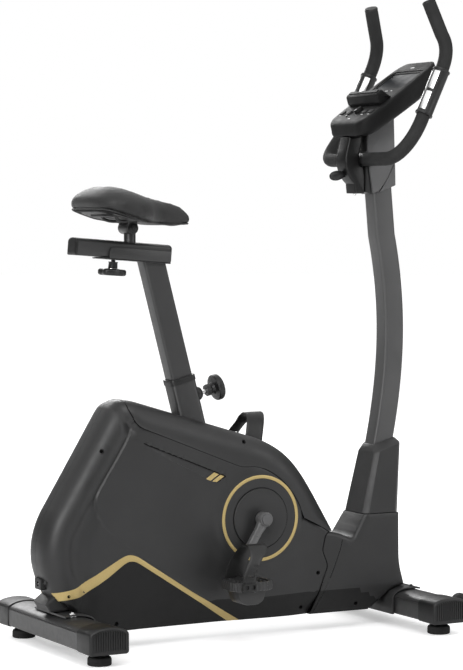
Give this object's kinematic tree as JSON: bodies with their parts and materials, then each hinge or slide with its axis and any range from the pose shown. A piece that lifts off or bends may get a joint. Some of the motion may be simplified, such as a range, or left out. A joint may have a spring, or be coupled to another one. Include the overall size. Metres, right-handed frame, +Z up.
{
  "type": "exercise bike",
  "caption": "Upright exercise bike with an enclosed flywheel drive, a height and fore-aft adjustable saddle, strapped pedals, and a curved mast carrying a tilting handlebar and a console.",
  "frame": {"origin": "on the floor, under the middle of the bike's bounding box", "axes": "+X forward, from the saddle to the handlebar; +Y to the rider's left; +Z up"},
  "size_m": [0.9503, 0.49, 1.3911],
  "materials": {
    "shell_plastic": "satin",
    "trim_plastic": "satin",
    "grey_plastic": "satin",
    "console_plastic": "satin",
    "grip_plastic": "satin",
    "pulley_plastic": "matte",
    "pedal_plastic": "matte",
    "screen_plastic": "gloss",
    "frame_paint": "satin",
    "chrome": "polished",
    "flywheel_iron": "satin",
    "foot_rubber": "matte",
    "wheel_rubber": "satin",
    "strap_rubber": "satin",
    "button_rubber": "matte",
    "bar_foam": "matte",
    "saddle_leather": "satin",
    "gold_trim": "satin"
  },
  "bodies": {
    "frame": {"main_frame": "frame_paint", "rear_stabilizer": "frame_paint", "front_stabilizer": "frame_paint", "rear_left_end_cap": "trim_plastic", "rear_right_end_cap": "trim_plastic", "front_left_end_cap": "trim_plastic", "front_right_end_cap": "trim_plastic", "left_shell": "shell_plastic", "right_shell": "shell_plastic", "top_cover": "shell_plastic", "front_cover": "shell_plastic", "mast_boot": "shell_plastic", "power_inlet": "trim_plastic", "flywheel_axle": "chrome", "idler_arm": "frame_paint", "tension_motor": "pulley_plastic", "drive_belt": "strap_rubber", "mast": "frame_paint", "mast_head": "grey_plastic", "clamp_cover": "trim_plastic", "console_housing": "console_plastic", "console_screen": "screen_plastic"},
    "crank": {"crank_axle": "chrome", "drive_pulley": "pulley_plastic", "left_crank_arm": "frame_paint", "right_crank_arm": "frame_paint", "left_crank_cover": "shell_plastic", "right_crank_cover": "shell_plastic"},
    "left_pedal": {"left_pedal": "pedal_plastic", "left_pedal_strap": "strap_rubber"},
    "right_pedal": {"right_pedal": "pedal_plastic", "right_pedal_strap": "strap_rubber"},
    "flywheel": {"flywheel": "flywheel_iron"},
    "idler": {"idler_roller": "pulley_plastic"},
    "brake": {"brake_shoe": "frame_paint"},
    "seat_post": {"seat_post": "frame_paint", "seat_carriage": "frame_paint"},
    "seat_slider": {"seat_slider": "frame_paint"},
    "slider_knob": {"slider_knob": "trim_plastic"},
    "adjust_knob": {"adjust_knob": "trim_plastic"},
    "saddle": {"saddle_clamp": "chrome", "saddle_rails": "chrome", "saddle_base": "trim_plastic", "saddle_cushion": "saddle_leather"},
    "handlebar": {"handlebar": "bar_foam", "left_pulse_grip": "grip_plastic", "right_pulse_grip": "grip_plastic"},
    "clamp_knob": {"clamp_knob": "trim_plastic"},
    "console_dial": {"console_dial": "console_plastic"},
    "button_1": {"console_button_1": "button_rubber"},
    "button_2": {"console_button_2": "button_rubber"},
    "button_3": {"console_button_3": "button_rubber"},
    "button_4": {"console_button_4": "button_rubber"},
    "left_wheel": {"left_transport_wheel": "wheel_rubber"},
    "right_wheel": {"right_transport_wheel": "wheel_rubber"},
    "rear_left_foot": {"rear_left_foot": "foot_rubber"},
    "rear_right_foot": {"rear_right_foot": "foot_rubber"},
    "front_left_foot": {"front_left_foot": "foot_rubber"},
    "front_right_foot": {"front_right_foot": "foot_rubber"}
  },
  "joints": [
    {"name": "crank_spin", "type": "hinge", "parent": "frame", "child": "crank", "pos_m": [0.027, 0, 0.261], "axis": [0, 1, 0], "continuous": true},
    {"name": "left_pedal_spin", "type": "hinge", "parent": "crank", "child": "left_pedal", "pos_m": [0.10649, 0.149, 0.38821], "axis": [0, 1, 0], "continuous": true},
    {"name": "right_pedal_spin", "type": "hinge", "parent": "crank", "child": "right_pedal", "pos_m": [-0.05249, -0.149, 0.13379], "axis": [0, 1, 0], "continuous": true},
    {"name": "flywheel_spin", "type": "hinge", "parent": "frame", "child": "flywheel", "pos_m": [-0.3, 0, 0.235], "axis": [0, 1, 0], "continuous": true},
    {"name": "idler_spin", "type": "hinge", "parent": "frame", "child": "idler", "pos_m": [-0.19233, 0.034, 0.17641], "axis": [0, 1, 0], "continuous": true},
    {"name": "brake_swing", "type": "hinge", "parent": "frame", "child": "brake", "pos_m": [-0.158, -0.017, 0.205], "axis": [0, 1, 0], "range_deg": [0, 8]},
    {"name": "seat_height", "type": "slide", "parent": "frame", "child": "seat_post", "axis": [-0.2563, 0, 0.9666], "range_m": [-0.175, 0.1]},
    {"name": "seat_fore_aft", "type": "slide", "parent": "seat_post", "child": "seat_slider", "axis": [0.9969, 0, -0.0785], "range_m": [-0.05, 0.05]},
    {"name": "slider_knob_turn", "type": "hinge", "parent": "seat_post", "child": "slider_knob", "pos_m": [-0.29374, 0, 0.80846], "axis": [0.0785, 0, 0.9969], "range_deg": [-180, 180]},
    {"name": "adjust_knob_pull", "type": "slide", "parent": "frame", "child": "adjust_knob", "axis": [0.9666, 0, 0.2563], "range_m": [0, 0.01], "stiffness_N_per_m": 800, "springref_m": -0.003},
    {"name": "saddle_tilt", "type": "hinge", "parent": "seat_slider", "child": "saddle", "pos_m": [-0.258, 0, 0.888], "axis": [0, 1, 0], "range_deg": [-12, 12]},
    {"name": "handlebar_tilt", "type": "hinge", "parent": "frame", "child": "handlebar", "pos_m": [0.315, 0, 1.038], "axis": [0, 1, 0], "range_deg": [-20, 20]},
    {"name": "clamp_knob_turn", "type": "hinge", "parent": "frame", "child": "clamp_knob", "pos_m": [0.256, 0, 1.0023], "axis": [0.9903, 0, 0.1392], "range_deg": [-180, 180]},
    {"name": "dial_turn", "type": "hinge", "parent": "frame", "child": "console_dial", "pos_m": [0.3121, 0, 1.1461], "axis": [-0.5707, 0, 0.8212], "continuous": true},
    {"name": "button_1_press", "type": "slide", "parent": "frame", "child": "button_1", "axis": [0.5707, 0, -0.8212], "range_m": [0, 0.0015], "stiffness_N_per_m": 300, "springref_m": -0.001},
    {"name": "button_2_press", "type": "slide", "parent": "frame", "child": "button_2", "axis": [0.5707, 0, -0.8212], "range_m": [0, 0.0015], "stiffness_N_per_m": 300, "springref_m": -0.001},
    {"name": "button_3_press", "type": "slide", "parent": "frame", "child": "button_3", "axis": [0.5707, 0, -0.8212], "range_m": [0, 0.0015], "stiffness_N_per_m": 300, "springref_m": -0.001},
    {"name": "button_4_press", "type": "slide", "parent": "frame", "child": "button_4", "axis": [0.5707, 0, -0.8212], "range_m": [0, 0.0015], "stiffness_N_per_m": 300, "springref_m": -0.001},
    {"name": "left_wheel_spin", "type": "hinge", "parent": "frame", "child": "left_wheel", "pos_m": [0.4495, 0.205, 0.066], "axis": [0, 1, 0], "continuous": true},
    {"name": "right_wheel_spin", "type": "hinge", "parent": "frame", "child": "right_wheel", "pos_m": [0.4495, -0.205, 0.066], "axis": [0, 1, 0], "continuous": true},
    {"name": "rear_left_foot_turn", "type": "hinge", "parent": "frame", "child": "rear_left_foot", "pos_m": [-0.418, 0.192, 0.02], "axis": [0, 0, 1], "range_deg": [-180, 180]},
    {"name": "rear_right_foot_turn", "type": "hinge", "parent": "frame", "child": "rear_right_foot", "pos_m": [-0.418, -0.192, 0.02], "axis": [0, 0, 1], "range_deg": [-180, 180]},
    {"name": "front_left_foot_turn", "type": "hinge", "parent": "frame", "child": "front_left_foot", "pos_m": [0.403, 0.192, 0.02], "axis": [0, 0, 1], "range_deg": [-180, 180]},
    {"name": "front_right_foot_turn", "type": "hinge", "parent": "frame", "child": "front_right_foot", "pos_m": [0.403, -0.192, 0.02], "axis": [0, 0, 1], "range_deg": [-180, 180]}
  ],
  "couplings": [
    {"joint": "flywheel_spin", "follows": "crank_spin", "ratio": 8},
    {"joint": "idler_spin", "follows": "crank_spin", "ratio": -7}
  ]
}
